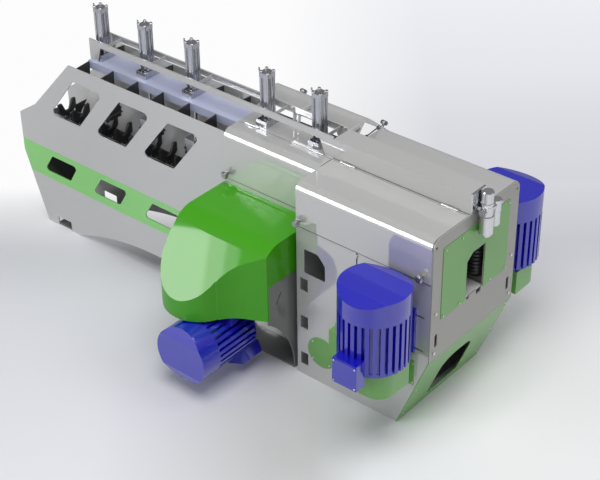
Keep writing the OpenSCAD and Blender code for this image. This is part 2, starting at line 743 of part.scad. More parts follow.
// Places a drawing of an upright motor where a chipping motor lies, at the rear
module at_chip_motor() {
  translate([chip_x, chip_motor_y, chip_motor_z]) rotate([-90, 0, 0]) children();
}
module at_saw_motor() {
  translate([saw_motor_x, saw_motor_y, saw_motor_z]) children();
}
module chip_motor_housings() {
  swing = 24;
  color(blue_c) both_sides() {
    at_chip_motor() {
      motor_housing(chip_motor_r, chip_motor_l);
      rotate([0, 0, 180 - swing]) terminal_box(chip_motor_r);
    }
    for (s = [-1, 1]) for (y = [660, s > 0 ? 770 : 860])
      box(chip_x + s * 130 - 35, chip_x + s * 130 + 35, y, y + 60,
          chip_motor_z + chip_motor_r - 70, chip_motor_z + chip_motor_r + 12);
  }
}
module saw_motor_housings() {
  color(blue_c) both_sides() {
    at_saw_motor() {
      motor_housing(saw_motor_r, saw_motor_l);
      rotate([0, 0, 180]) terminal_box(saw_motor_r);
    }
    // Feet on the side plate, each a pad and a web along the motor
    for (s = [-1, 1]) translate([saw_motor_x + s * 100, 0, 0]) {
      box(-28, 28, saw_half_w, saw_half_w + 20, saw_motor_z + (s > 0 ? -45 : 2),
          saw_motor_z + 285);
      box(-12, 12, saw_half_w + 19, saw_motor_y - 170, saw_motor_z + 30, saw_motor_z + 285);
    }
  }
}
module motor_cowls() {
  color(blue_c) both_sides() {
    at_chip_motor() motor_cowl(chip_motor_r, chip_motor_l);
    at_saw_motor() motor_cowl(saw_motor_r, saw_motor_l);
  }
}
module chip_motor_shaft(side) {
  color(steel_c) on_side(side) at_chip_motor()
    motor_shaft(chip_pulley_r, chip_pulley_w, chip_motor_y - chip_pulley_y);
}
module saw_motor_shaft(side) {
  color(steel_c) on_side(side) at_saw_motor()
    motor_shaft(saw_pulley_r, saw_pulley_h, saw_pulley_drop);
}
module belt_loop(a, b, r, t, width) {
  span = norm(b - a);
  translate(a) rotate(atan2(b[1] - a[1], b[0] - a[0])) linear_extrude(width) difference() {
    stadium_2d(r + belt_seat + t, span);
    stadium_2d(r + belt_seat, span);
  }
}
module drive_belts() {
  color(dark_c) {
    both_sides() translate([0, chip_pulley_y - 4, 0]) rotate([90, 0, 0])
      belt_loop([chip_x, chip_motor_z], [chip_x, chip_z], chip_pulley_r, belt_t,
                chip_pulley_w - 8);
    for (side = [front, rear]) on_side(side) translate([0, 0, saw_pulley_z + 4])
      belt_loop([saw_motor_x, saw_motor_y],
                [arbor_x + (side > 0 ? arbor_stagger : 0), arbor_y],
                saw_pulley_r, belt_t, saw_pulley_h - 8);
  }
}
module belt_guards() {
  guard_z = 512;
  guard_x0 = saw_motor_x - 185;
  guard_x1 = saw_motor_x + 185;
  guard_y = saw_motor_y + 153;
  neck_y = saw_motor_y - 122;
  neck_x0 = 1532;
  neck_x1 = saw_motor_x + 68;
  t = 3;
  disc = [1136, 258];
  box_z = [372, 566];
  color(green_c) both_sides() {
    difference() {
      translate([0, 0, guard_z]) linear_extrude(saw_motor_z - guard_z)
        polygon(guard_plan(guard_x0, guard_x1, guard_y, neck_y, neck_x0, neck_x1, saw_half_w));
      translate([0, 0, guard_z + t]) linear_extrude(saw_motor_z - guard_z - 2 * t)
        polygon(guard_plan(guard_x0 + t, guard_x1 - t, guard_y - t, neck_y + t, neck_x0 + t,
                           neck_x1 - t, saw_half_w - 1));
      rod_z(saw_motor_x, saw_motor_y, 40, saw_motor_z - 10, saw_motor_z + 1);
    }
    // Box on the side plate below, with its flanges
    box(1266, 1846, saw_half_w, saw_half_w + 90, box_z[0], box_z[1] - (box_z[1] - guard_z));
    box(1266, neck_x0, saw_half_w, saw_half_w + 90, guard_z - 1, box_z[1]);
    box(neck_x1, 1846, saw_half_w, saw_half_w + 90, guard_z - 1, box_z[1]);
    box(1250, 1267, saw_half_w, saw_half_w + 4, box_z[0], box_z[1]);
    box(1845, 1884, saw_half_w, saw_half_w + 4, box_z[0], box_z[1]);
    // Round cover over the cleaning hole
    rod_y(disc[0], disc[1], 118, saw_half_w, saw_half_w + 4);
  }
}
function guard_plan(x0, x1, y1, neck_y, neck_x0, neck_x1, y0) =
  rounded([[neck_x0, y0], [neck_x0, neck_y], [x0, neck_y + 40], [x0, y1], [x1, y1],
           [x1, neck_y], [neck_x1, neck_y], [neck_x1, y0]],
          [0, 0, 0, 116, 116, 0, 0, 0], 10);

// Rotating tools

module chip_head(side) {
  knives = 6;
  disc_y = outlet_half_w + 4;
  pulley_end = chip_pulley_y;
  color(steel_c) on_side(side) difference() {
    translate([chip_x, 0, chip_z]) rotate([-90, 0, 0]) {
      rotate_extrude($fn = 96)
        polygon([[0, disc_y], [disc_d / 2 - 40, disc_y], [disc_d / 2, disc_y + 26],
                 [disc_d / 2, disc_y + 44], [spindle_d / 2, disc_y + 44], [0, disc_y + 44]]);
      translate([0, 0, disc_y + 43]) cylinder(r = 44, h = 20);
      translate([0, 0, disc_y + 43]) cylinder(r = spindle_d / 2, h = pulley_end - disc_y - 35);
      translate([0, 0, chip_pulley_y])
        mirror([0, 0, 0]) motor_pulley(chip_pulley_r, chip_pulley_w);
    }
    // Pockets that hold the knives
    for (k = [0:knives - 1]) translate([chip_x, 0, chip_z]) rotate([0, k * 360 / knives, 0])
      translate([disc_d / 2 - 70, disc_y - 1, -7]) cube([90, 22, 14]);
  }
}
module motor_pulley(r, h) {
  grooves = 4;
  step = h / grooves;
  rotate_extrude()
    polygon(concat([[29, -h]],
                   [for (k = [0:grooves - 1]) each [
                      [r, -h + k * step], [r, -h + k * step + step * 0.25],
                      [r - 10, -h + k * step + step * 0.45],
                      [r - 10, -h + k * step + step * 0.8]]],
                   [[r, 0], [29, 0]]));
}
module saw_blade(r) {
  teeth = 24;
  step = 360 / teeth;
  linear_extrude(blade_t)
    polygon([for (k = [0:teeth - 1]) for (p = [[r - 18, 0], [r, step * 0.75], [r, step * 0.97]])
             p[0] * [cos(k * step + p[1]), sin(k * step + p[1])]]);
}
module saw_arbor(side) {
  x = arbor_x + (side > 0 ? arbor_stagger : 0);
  color(steel_c) on_side(side) translate([x, arbor_y, 0]) {
    rod_z(0, 0, arbor_d / 2, saw_pulley_z - 6, arbor_top_z);
    translate([0, 0, saw_pulley_z + saw_pulley_h]) motor_pulley(saw_pulley_r, saw_pulley_h);
    rod_z(0, 0, 55, first_blade_z - 20, first_blade_z + blade_count * blade_pitch - 8);
    for (k = [0:blade_count - 1]) translate([0, 0, first_blade_z + k * blade_pitch])
      saw_blade(blade_d / 2);
  }
}
module outfeed_roller(side) {
  z0 = path_z + 32;
  ribs = 9;
  color(dark_c) on_side(side) translate([out_roller_x, out_roller_y, 0]) rotate_extrude()
    polygon(concat([[0, z0 - 72], [20, z0 - 72], [20, z0]],
                   [for (k = [0:ribs - 1]) each [
                      [out_roller_r - 9, z0 + k * rib_pitch],
                      [out_roller_r, z0 + (k + 0.25) * rib_pitch],
                      [out_roller_r, z0 + (k + 0.6) * rib_pitch],
                      [out_roller_r - 9, z0 + (k + 0.85) * rib_pitch]]],
                   [[20, z0 + ribs * rib_pitch], [20, z0 + ribs * rib_pitch + 56],
                    [0, z0 + ribs * rib_pitch + 56]]));
}
module sprocket_2d() {
  difference() {
    circle(r = sprocket_r + 5, $fn = 72);
    for (k = [0:chain_teeth - 1]) rotate(k * 360 / chain_teeth)
      translate([sprocket_r, 0]) circle(r = chain_roller_r + gap);
  }
}
module chain_shaft(x) {
  color(steel_c) translate([x, 0, chain_z]) {
    xz_plate(-chain_in + 2, 2 * chain_in - 4) sprocket_2d();
    rod_y(0, 0, chain_shaft_d / 2, -inner_w + 2, inner_w - 2);
    rod_y(0, 0, chain_shaft_d / 2 + 18, -60, 60);
  }
}
module bearing_units() {
  flange = 16;
  roller_top = path_z + 32 + 9 * rib_pitch;
  tube_flange_r = hood_top_z - hood_t - chip_z - 2;
  color(steel_c) {
    // Flanged bearings of the two chain shafts
    both_sides() for (x = [drive_x, tail_x]) difference() {
      union() {
        rod_y(x, chain_z, chain_shaft_d / 2 + 30, inner_w - flange, inner_w);
        rod_y(x, chain_z, chain_shaft_d / 2 + 16, inner_w - 40, inner_w);
      }
      rod_y(x, chain_z, chain_shaft_d / 2 + running, inner_w - 41, inner_w + 1);
    }
    // Spindle tubes of the chipping heads
    both_sides() difference() {
      union() {
        rod_y(chip_x, chip_z, 80, 175, 480);
        rod_y(chip_x, chip_z, tube_flange_r, feed_half_w, feed_half_w + flange);
      }
      rod_y(chip_x, chip_z, spindle_d / 2 + running, 174, 481);
    }
    // Lower and upper bearings of the saw arbors, with their arms
    for (side = [front, rear]) on_side(side) {
      x = arbor_x + (side > 0 ? arbor_stagger : 0);
      for (z = [[saw_pulley_z + saw_pulley_h + 16, path_z - 12],
                [first_blade_z + blade_count * blade_pitch + 40, arbor_top_z - 6]])
        difference() {
          union() {
            rod_z(x, arbor_y, 70, z[0], z[1]);
            box(x - 60, x + 60, arbor_y, saw_inner_w, z[1] - 40, z[1]);
          }
          rod_z(x, arbor_y, arbor_d / 2 + running, z[0] - 1, z[1] + 1);
        }
    }
    // Blocks that hold the outlet rollers on the end plate
    both_sides() for (z = [path_z - 32, roller_top + 10]) difference() {
      box(out_roller_x - 40, end_x - wall_t, out_roller_y - 40, out_roller_y + 40, z, z + 40);
      rod_z(out_roller_x, out_roller_y, 20 + running, z - 1, z + 41);
    }
  }
}

// Covers

function cover_path(half_w, low_z) =
  let (flat = [[hinge_y + 2, cover_top_z], [half_w, cover_top_z], [half_w, low_z]])
  concat([flat[0]], corner(flat[0], flat[1], flat[2], cover_r, 10), [flat[2]]);
module cover(x0, x1, half_w, low_z) {
  yz_plate(x0, x1 - x0) polygon(sheet(cover_path(half_w, low_z), -cover_t));
}
mid_half_w = feed_half_w + cover_t + 2;
cover_half_w = saw_half_w + cover_t + 2;
cover_gap = 3;
arm_xs = [460, 880];
// Where the strut's head lies when the cover is shut
function shut(p) =
  let (v = p - [mid_hinge_y, mid_hinge_z])
  [mid_hinge_y + v[0] * cos(open_angle) + v[1] * sin(open_angle),
   mid_hinge_z - v[0] * sin(open_angle) + v[1] * cos(open_angle)];
closed_head = shut(strut_head);
module mid_cover_closed(arms) {
  cover(mid_x + cover_gap, saw_x - cover_gap, mid_half_w, mid_cover_z);
  // Tongue beside the strut's eye, whose pin is left out
  if (arms) difference() {
    box(strut_x + 6 + gap, strut_x + 12, mid_half_w - 34, mid_half_w - cover_t, 1268, 1302);
    rod_x(closed_head[0], closed_head[1], 6, strut_x, strut_x + 20);
  }
  // Hinge straps between the rear rail and the cover
  if (arms) for (x = arm_xs) difference() {
    union() {
      yz_plate(x, 30)
        polygon([[mid_hinge_y - 4, mid_hinge_z + 10], [mid_hinge_y + 12, mid_hinge_z + 6],
                 [190, cover_top_z + 5], [205, cover_top_z], [170, cover_top_z],
                 [mid_hinge_y - 6, mid_hinge_z - 8]]);
      rod_x(mid_hinge_y, mid_hinge_z, 13, x, x + 30);
    }
    rod_x(mid_hinge_y, mid_hinge_z, 6 + running, x - 1, x + 31);
  }
}
// Turning halves of the hinges, drawn at the rear
module knuckles(side, x0, x1) {
  for (h = hinge_spots) if (h[0] == side && h[1] > x0 && h[1] < x1) difference() {
    union() {
      box(h[1], h[1] + hinge_l, hinge_y, hinge_y + 21, cover_top_z, cover_top_z + 3);
      rod_x(hinge_y, hinge_z, hinge_r, h[1], h[1] + hinge_l);
    }
    rod_x(hinge_y, hinge_z, 3 + running, h[1] - 1, h[1] + hinge_l + 1);
  }
}
module knob(x, y, z) {
  translate([x, y, z]) rotate([-90, 0, 0]) rotate_extrude()
    polygon([[0, 0], [9, 0], [9, 22], [24, 26], [27, 34], [27, 44], [20, 52], [0, 52]]);
}
module knob_pair(x0, x1, half_w, low_z) {
  for (x = [x0 + 30, x1 - 60]) knob(x, half_w, low_z + 42);
}
module opened() {
  translate([0, mid_hinge_y, mid_hinge_z]) rotate([open_angle, 0, 0])
    translate([0, -mid_hinge_y, -mid_hinge_z]) children();
}
module cover_mid_front() {
  color(sheet_c) on_side(front) {
    mid_cover_closed(false);
    knuckles(front, mid_x, saw_x);
  }
}
module cover_mid_rear() {
  color(sheet_c) opened() mid_cover_closed(true);
}
module cover_saw(side) {
  color(sheet_c) on_side(side) {
    cover(saw_x + cover_gap, end_x - wall_t - cover_gap, cover_half_w, saw_cover_z);
    knuckles(side, saw_x, end_x);
  }
}
module knobs_mid_front() {
  color(dark_c) on_side(front)
    knob_pair(mid_x + cover_gap, saw_x - cover_gap, mid_half_w, mid_cover_z);
}
module knobs_mid_rear() {
  color(dark_c) opened()
    knob_pair(mid_x + cover_gap, saw_x - cover_gap, mid_half_w, mid_cover_z);
}
module knobs_saw(side) {
  color(dark_c) on_side(side)
    knob_pair(saw_x + cover_gap, end_x - wall_t - cover_gap, cover_half_w, saw_cover_z);
}

// Gas strut of the open cover: the tube turns on the wall, the rod reaches the cover

strut_tilt = atan2(strut_head[1] - strut_foot[1], strut_head[0] - strut_foot[0]);
strut_len = norm(strut_head - strut_foot);
module along_strut() {
  translate([strut_x, strut_foot[0], strut_foot[1]]) rotate([strut_tilt, 0, 0]) children();
}
module strut_tube() {
  color(dark_c) along_strut() difference() {
    union() {
      rod_y(0, 0, 11, 8, 130);
      rod_x(0, 0, 10, -6, 6);
    }
    rod_y(0, 0, 5 + running, 20, 131);
    rod_x(0, 0, 5 + running, -7, 7);
  }
}
module strut_rod() {
  color(steel_c) along_strut() {
    rod_y(0, 0, 5, 78, strut_len - 8);
    difference() {
      rod_x(strut_len, 0, 10, -6, 6);
      rod_x(strut_len, 0, 6, -7, 7);
    }
  }
}

// Air service unit at the outlet end of the roof box

unit_x = end_x + 52;
unit_y = 11;
filter_y = 110;
knob_z = 1560;
module air_service_unit() {
  color(alu_c) {
    // Angle bracket on the end of the roof box
    box(end_x - wall_t, end_x + 8, -rail_half_w, 58, box_top_z - 136, box_top_z + 10);
    box(end_x + 7, unit_x - 30, unit_y - 22, unit_y + 22, knob_z - 46, knob_z - 20);
    difference() {
      union() {
        rod_z(unit_x, unit_y, 40, knob_z - 70, knob_z);
        rod_y(unit_x, knob_z - 36, 24, unit_y - 58, filter_y + 44);
        rod_z(unit_x, filter_y, 33, knob_z - 84, knob_z - 4);
      }
      rod_z(unit_x, unit_y, 12 + running, knob_z - 30, knob_z + 1);
    }
    // Bowls
    translate([unit_x, unit_y, knob_z - 70]) mirror([0, 0, 1]) rotate_extrude()
      polygon([[0, 0], [46, 0], [46, 128], [38, 142], [14, 148], [12, 162], [0, 162]]);
    translate([unit_x, filter_y, knob_z - 84]) mirror([0, 0, 1]) rotate_extrude()
      polygon([[0, 0], [31, 0], [31, 96], [26, 106], [0, 110]]);
  }
}
module regulator_knob() {
  color(steel_c) translate([unit_x, unit_y, knob_z]) {
    rod_z(0, 0, 12, -29, 6);
    rotate_extrude()
      polygon([[0, 5], [38, gap], [41, 12], [41, 22], [38, 26], [38, 96], [34, 102], [0, 102]]);
  }
}
module bolt_x(y, z, r, x) {
  rod_x(y, z, r, x, x + 8);
}
module plate_bolts() {
  color(steel_c) {
    for (p = [[414, 958], [417, 655]]) for (s = [-1, 1]) bolt_x(s * p[0], p[1], 11, end_x);
    for (y = [-340, -170, 170, 340]) for (z = [905, 1394]) bolt_x(y, z, 6, end_x + 4);
    both_sides() for (a = [45:90:315])
      rod_y(1136 + 100 * cos(a), 258 + 100 * sin(a), 7, saw_half_w + 4, saw_half_w + 10);
  }
}

feed_side(front);  // feed_side_front
feed_side(rear);  // feed_side_rear
feed_stiffeners();
chain_bed();
feed_chain();
feed_gearmotor();
top_beam();
gantry_frame();
roof_box();
saw_side(front);  // saw_side_front
saw_side(rear);  // saw_side_rear
saw_end_plate();
saw_end_cover();
saw_slant_plate();
saw_inner_frame();
consoles_and_feet();
chip_hoods();
press_cylinders();
chip_motor_housings();
saw_motor_housings();
motor_cowls();
belt_guards();
bearing_units();
drive_belts();
air_service_unit();
plate_bolts();
press_rod(0);  // press_rod_1
press_rod(1);  // press_rod_2
press_rod(2);  // press_rod_3
press_rod(3);  // press_rod_4
press_rod(4);  // press_rod_5
press_roller(0);  // press_roller_1
press_roller(1);  // press_roller_2
press_roller(2);  // press_roller_3
press_roller(3);  // press_roller_4
press_roller(4);  // press_roller_5
chip_head(front);  // chip_head_front
chip_head(rear);  // chip_head_rear
saw_arbor(front);  // saw_arbor_front
saw_arbor(rear);  // saw_arbor_rear
chip_motor_shaft(front);  // chip_motor_shaft_front
chip_motor_shaft(rear);  // chip_motor_shaft_rear
saw_motor_shaft(front);  // saw_motor_shaft_front
saw_motor_shaft(rear);  // saw_motor_shaft_rear
outfeed_roller(front);  // outfeed_roller_front
outfeed_roller(rear);  // outfeed_roller_rear
chain_shaft(drive_x);  // chain_drive_shaft
chain_shaft(tail_x);  // chain_tail_shaft
cover_mid_front();
cover_mid_rear();
cover_saw(front);  // cover_saw_front
cover_saw(rear);  // cover_saw_rear
knobs_mid_front();
knobs_mid_rear();
knobs_saw(front);  // knobs_saw_front
knobs_saw(rear);  // knobs_saw_rear
strut_tube();
strut_rod();
regulator_knob();
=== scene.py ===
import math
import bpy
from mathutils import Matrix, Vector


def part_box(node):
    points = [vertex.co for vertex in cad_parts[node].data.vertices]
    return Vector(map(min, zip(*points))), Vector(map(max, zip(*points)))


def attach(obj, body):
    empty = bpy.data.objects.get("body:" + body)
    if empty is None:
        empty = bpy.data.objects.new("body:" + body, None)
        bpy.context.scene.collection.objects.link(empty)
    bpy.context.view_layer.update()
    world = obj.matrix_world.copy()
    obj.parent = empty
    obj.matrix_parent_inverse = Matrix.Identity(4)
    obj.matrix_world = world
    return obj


bl_info = {
    "name": "Log profiling saw",
    "version": (1, 0, 0),
    "blender": (4, 5, 0),
    "location": "View3D > Sidebar > Profiling saw",
    "description": "Paints the frame of a log profiling saw, adds its trim and sets its studio",
    "category": "Object",
}

import bmesh
import bpy
from mathutils import Matrix, Vector

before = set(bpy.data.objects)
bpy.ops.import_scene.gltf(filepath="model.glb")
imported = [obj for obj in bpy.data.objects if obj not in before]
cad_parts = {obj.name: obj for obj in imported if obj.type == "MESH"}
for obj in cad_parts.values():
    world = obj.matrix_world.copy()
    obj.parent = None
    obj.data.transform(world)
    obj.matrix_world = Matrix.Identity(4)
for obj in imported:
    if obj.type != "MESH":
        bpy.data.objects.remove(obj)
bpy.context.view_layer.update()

# Places on the saw that several steps share, in metres
DRIVE_SHAFT_X = 0.8
LINKS_TO_TAIL = 52
SADDLED_LINKS = (2, 51, 3)
SLIT_X = 1.418
SAW_SIDE_Y = 0.4595
SEAM_DEPTH = 0.0017


# Sizes and colours


class PaintColours(bpy.types.PropertyGroup):
    cabinet: bpy.props.FloatVectorProperty(
        name="Cabinet", description="Powder coat of the side plates and covers",
        subtype="COLOR", default=(0.51, 0.51, 0.502))
    # Partly painted light: the primer's grey is lightened to stand in for light that reaches
    # inside the cabinet
    inside: bpy.props.FloatVectorProperty(
        name="Inside", description="Primer on the plates inside the cabinet",
        subtype="COLOR", default=(0.62, 0.62, 0.61))
    end_plate: bpy.props.FloatVectorProperty(
        name="End plate", description="Warmer grey of the outlet end",
        subtype="COLOR", default=(0.34, 0.335, 0.31))
    # Painted shade: the consoles take a darker copy of the end plate's grey, for the shade they
    # stand in
    console: bpy.props.FloatVectorProperty(
        name="Console", description="Darker grey of the consoles and floor plates",
        subtype="COLOR", default=(0.19, 0.19, 0.185))
    stripe: bpy.props.FloatVectorProperty(
        name="Stripe", description="Green band along the feed section",
        subtype="COLOR", default=(0.115, 0.66, 0.02))
    hood: bpy.props.FloatVectorProperty(
        name="Hood", description="Green of the chip hoods",
        subtype="COLOR", default=(0.055, 0.36, 0.004))
    guard: bpy.props.FloatVectorProperty(
        name="Guard", description="Green of the belt guards and the outlet end",
        subtype="COLOR", default=(0.138, 0.395, 0.08))
    motor: bpy.props.FloatVectorProperty(
        name="Motor", description="Blue enamel of the motors",
        subtype="COLOR", default=(0.002, 0.003, 0.48))
    beam: bpy.props.FloatVectorProperty(
        name="Beam", description="Lilac grey of the top beam",
        subtype="COLOR", default=(0.50, 0.53, 0.72))
    iron: bpy.props.FloatVectorProperty(
        name="Iron", description="Black oxide of the chain and the rollers",
        subtype="COLOR", default=(0.085, 0.085, 0.088))


class TrimSizes(bpy.types.PropertyGroup):
    bolt_radius: bpy.props.FloatProperty(
        name="Bolt radius", description="Radius over the corners of the plate bolts",
        default=0.0085, min=0.004, max=0.02, unit="LENGTH")
    stripe_low: bpy.props.FloatProperty(
        name="Stripe bottom", description="Height of the lower edge of the green band",
        default=0.410, unit="LENGTH")
    stripe_high: bpy.props.FloatProperty(
        name="Stripe top", description="Height of the upper edge of the green band",
        default=0.677, unit="LENGTH")
    # The strip that this sets is painted shade for the gap below each cover
    seam: bpy.props.FloatProperty(
        name="Seam", description="Height of the rubber below each cover",
        default=0.004, min=0.001, max=0.01, unit="LENGTH")
    link_pitch: bpy.props.FloatProperty(
        name="Link pitch", description="Distance between the pins of the feed chain",
        default=0.0508, unit="LENGTH")


class StageSizes(bpy.types.PropertyGroup):
    floor_half: bpy.props.FloatProperty(
        name="Floor", description="Half the side of the floor", default=16.0, unit="LENGTH")
    lens: bpy.props.FloatProperty(
        name="Lens", description="Focal length of the camera", default=91.954, unit="CAMERA")


# Materials


def principled(name):
    mat = bpy.data.materials.new(name)
    mat.use_nodes = True
    tree = mat.node_tree
    bsdf = tree.nodes["Principled BSDF"]
    return mat, tree, bsdf


def node(tree, kind, **values):
    made = tree.nodes.new(kind)
    for key, value in values.items():
        if key in made.inputs:
            made.inputs[key].default_value = value
        else:
            setattr(made, key, value)
    return made


def object_space(tree, scale=(1, 1, 1)):
    coords = tree.nodes.new("ShaderNodeTexCoord")
    mapping = tree.nodes.new("ShaderNodeMapping")
    mapping.inputs["Scale"].default_value = scale
    tree.links.new(coords.outputs["Object"], mapping.inputs["Vector"])
    return mapping.outputs["Vector"]


def noise(tree, place, scale, detail=3.0):
    tex = node(tree, "ShaderNodeTexNoise", Scale=scale, Detail=detail)
    tree.links.new(place, tex.inputs["Vector"])
    return tex.outputs["Fac"]


def spread(tree, value, low, high, out_low=0.0, out_high=1.0):
    """Stretches the range of a value between two limits to another range."""
    made = tree.nodes.new("ShaderNodeMapRange")
    for key, number in (("From Min", low), ("From Max", high), ("To Min", out_low),
                        ("To Max", out_high)):
        made.inputs[key].default_value = number
    tree.links.new(value, made.inputs["Value"])
    return made.outputs["Result"]


def mixed(tree, under, over, factor):
    """Lays one colour over another, each a socket or three numbers."""
    mix = tree.nodes.new("ShaderNodeMix")
    mix.data_type = "RGBA"
    for key, colour in (("A", under), ("B", over)):
        if isinstance(colour, bpy.types.NodeSocket):
            tree.links.new(colour, mix.inputs[key])
        else:
            mix.inputs[key].default_value = (*colour, 1)
    tree.links.new(factor, mix.inputs["Factor"])
    return mix.outputs["Result"]


def shade(tree, colour, factor, darker):
    """Mixes a colour with a darker tone of itself."""
    return mixed(tree, colour, [c * darker for c in colour], factor)


def joined(tree, operation, first, second):
    """Combines two values by an operation, with the result kept between 0 and 1."""
    made = node(tree, "ShaderNodeMath", operation=operation, use_clamp=True)
    tree.links.new(first, made.inputs[0])
    tree.links.new(second, made.inputs[1])
    return made.outputs[0]


def relief(tree, bsdf, height, strength, distance):
    bump = node(tree, "ShaderNodeBump", Strength=strength, Distance=distance)
    tree.links.new(height, bump.inputs["Height"])
    tree.links.new(bump.outputs["Normal"], bsdf.inputs["Normal"])


def enamel(name, colour, roughness=0.35, coat=0.6, peel=0.012, mirror=1.7, sheen=0.5):
    """Sprayed paint: cloudy colour, faint orange peel and a clear coat."""
    mat, tree, bsdf = principled(name)
    place = object_space(tree)
    clouds = spread(tree, noise(tree, place, scale=1.1, detail=2.0), 0.3, 0.75)
    tree.links.new(shade(tree, colour, clouds, darker=0.965), bsdf.inputs["Base Color"])
    haze = spread(tree, noise(tree, place, scale=3.0), 0.3, 0.7, roughness * 0.95,
                  roughness * 1.05)
    tree.links.new(haze, bsdf.inputs["Roughness"])
    relief(tree, bsdf, noise(tree, place, scale=170.0, detail=2.0), strength=peel,
           distance=0.0006)
    bsdf.inputs["Coat Weight"].default_value = coat
    bsdf.inputs["Coat Roughness"].default_value = 0.035
    bsdf.inputs["Coat IOR"].default_value = mirror
    bsdf.inputs["Specular IOR Level"].default_value = sheen
    return mat


def striped_enamel(name, colour, stripe, low, high, end_x):
    """The cabinet's paint with the green band masked along the feed section."""
    mat = enamel(name, colour, roughness=0.4, coat=1.0, peel=0.01, mirror=3.0)
    tree = mat.node_tree
    bsdf = tree.nodes["Principled BSDF"]
    base = bsdf.inputs["Base Color"].links[0].from_socket
    coords = tree.nodes.new("ShaderNodeTexCoord")
    split = tree.nodes.new("ShaderNodeSeparateXYZ")
    tree.links.new(coords.outputs["Object"], split.inputs["Vector"])

    def above(key, limit):
        made = node(tree, "ShaderNodeMath", operation="GREATER_THAN")
        tree.links.new(split.outputs[key], made.inputs[0])
        made.inputs[1].default_value = limit
        return made.outputs[0]

    band = joined(tree, "SUBTRACT", above("Z", low), above("Z", high))
    mask = joined(tree, "SUBTRACT", band, above("X", end_x))
    tree.links.new(mixed(tree, base, stripe, mask), bsdf.inputs["Base Color"])
    return mat


def brushed(name, colour, stretch=(1, 1, 0.04), roughness=0.32, grain=260.0):
    """Drawn or turned metal, with its lines along the short axis of the stretch."""
    mat, tree, bsdf = principled(name)
    lines = noise(tree, object_space(tree, stretch), scale=grain, detail=2.0)
    tree.links.new(shade(tree, colour, spread(tree, lines, 0.3, 0.7), darker=0.82),
                   bsdf.inputs["Base Color"])
    tree.links.new(spread(tree, lines, 0.3, 0.7, roughness * 0.8, roughness * 1.3),
                   bsdf.inputs["Roughness"])
    relief(tree, bsdf, lines, strength=0.08, distance=0.0004)
    bsdf.inputs["Metallic"].default_value = 1.0
    return mat


def oxide(name, colour, roughness=0.45):
    """Blackened steel that is rubbed to another tone in patches."""
    mat, tree, bsdf = principled(name)
    place = object_space(tree)
    rubbed = (0.075, 0.074, 0.072)
    patches = spread(tree, noise(tree, place, scale=14.0, detail=5.0), 0.52, 0.72)
    tree.links.new(mixed(tree, colour, rubbed, patches), bsdf.inputs["Base Color"])
    wear = spread(tree, noise(tree, place, scale=60.0), 0.3, 0.7, roughness * 0.8,
                  roughness * 1.25)
    tree.links.new(wear, bsdf.inputs["Roughness"])
    relief(tree, bsdf, noise(tree, place, scale=240.0), strength=0.12, distance=0.0006)
    bsdf.inputs["Metallic"].default_value = 0.7
    return mat


def moulded(name, colour, roughness=0.5):
    """Fine-grained plastic or rubber."""
    mat, tree, bsdf = principled(name)
    place = object_space(tree)
    tree.links.new(shade(tree, colour, noise(tree, place, scale=30.0), darker=0.75),
                   bsdf.inputs["Base Color"])
    relief(tree, bsdf, noise(tree, place, scale=900.0, detail=1.0), strength=0.15,
           distance=0.0003)
    bsdf.inputs["Roughness"].default_value = roughness
    return mat


# The mixed materials by name, filled by the operator of the paints and metals
FINISHES = {}


# Pieces


def piece(name, bm, finish, body):
    """Makes an object of a bmesh, with its normals outwards, that rides on a body."""
    bmesh.ops.recalc_face_normals(bm, faces=bm.faces)
    mesh = bpy.data.meshes.new(name)
    bm.to_mesh(mesh)
    bm.free()
    made = bpy.data.objects.new(name, mesh)
    bpy.context.scene.collection.objects.link(made)
    mesh.materials.append(FINISHES[finish])
    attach(made, body)
    return made


def turned_to(axis):
    """The rotation that lays a local Z axis along a direction."""
    return Vector((0, 0, 1)).rotation_difference(Vector(axis)).to_matrix().to_4x4()


def edges_at(verts):
    """The edges at some vertices, each once and always in the same order."""
    return list(dict.fromkeys(edge for vert in verts for edge in vert.link_edges))


def broken(bm, edges, width, segments=1):
    """Takes the sharpness off some edges."""
    bmesh.ops.bevel(bm, geom=edges, offset=width, offset_type="OFFSET", affect="EDGES",
                    segments=segments, profile=0.5, material=-1)


def prism(bm, place, axis, radius, height, sides, chamfer=0.0, turn=0.0):
    """A straight prism that stands on a point, with its far edges chamfered."""
    spin = Matrix.Rotation(turn, 4, "Z")
    made = bmesh.ops.create_cone(
        bm, cap_ends=True, segments=sides, radius1=radius, radius2=radius, depth=height,
        matrix=Matrix.Translation(place) @ turned_to(axis) @ spin
        @ Matrix.Translation((0, 0, height / 2)))
    if chamfer:
        normal = Vector(axis).normalized()
        top = Vector(place) + normal * height
        rim = [edge for edge in edges_at(made["verts"])
               if all(abs((vert.co - top).dot(normal)) < 1e-6 for vert in edge.verts)]
        broken(bm, rim, chamfer)


def hex_bolt(bm, place, axis, radius, turn=0.3):
    """A hexagon head on its washer."""
    normal = Vector(axis).normalized()
    on_washer = Vector(place) + normal * radius * 0.2
    prism(bm, place, axis, radius * 1.45, radius * 0.22, sides=20, chamfer=radius * 0.08)
    prism(bm, on_washer, axis, radius, radius * 0.75, sides=6, chamfer=radius * 0.14,
          turn=turn)


def cap_screw(bm, place, axis, radius):
    """A low round head with a sunk socket."""
    normal = Vector(axis).normalized()
    in_head = Vector(place) + normal * radius * 0.55
    prism(bm, place, axis, radius, radius * 0.6, sides=16, chamfer=radius * 0.2)
    prism(bm, in_head, axis, radius * 0.4, radius * 0.08, sides=6)


def bar(bm, low, high, edge=0.0):
    """A bar between two corners, with its edges broken."""
    size = Vector(high) - Vector(low)
    centre = (Vector(high) + Vector(low)) / 2
    made = bmesh.ops.create_cube(
        bm, size=1.0, matrix=Matrix.Translation(centre) @ Matrix.Diagonal((*size, 1)))
    if edge:
        broken(bm, edges_at(made["verts"]), edge, segments=2)


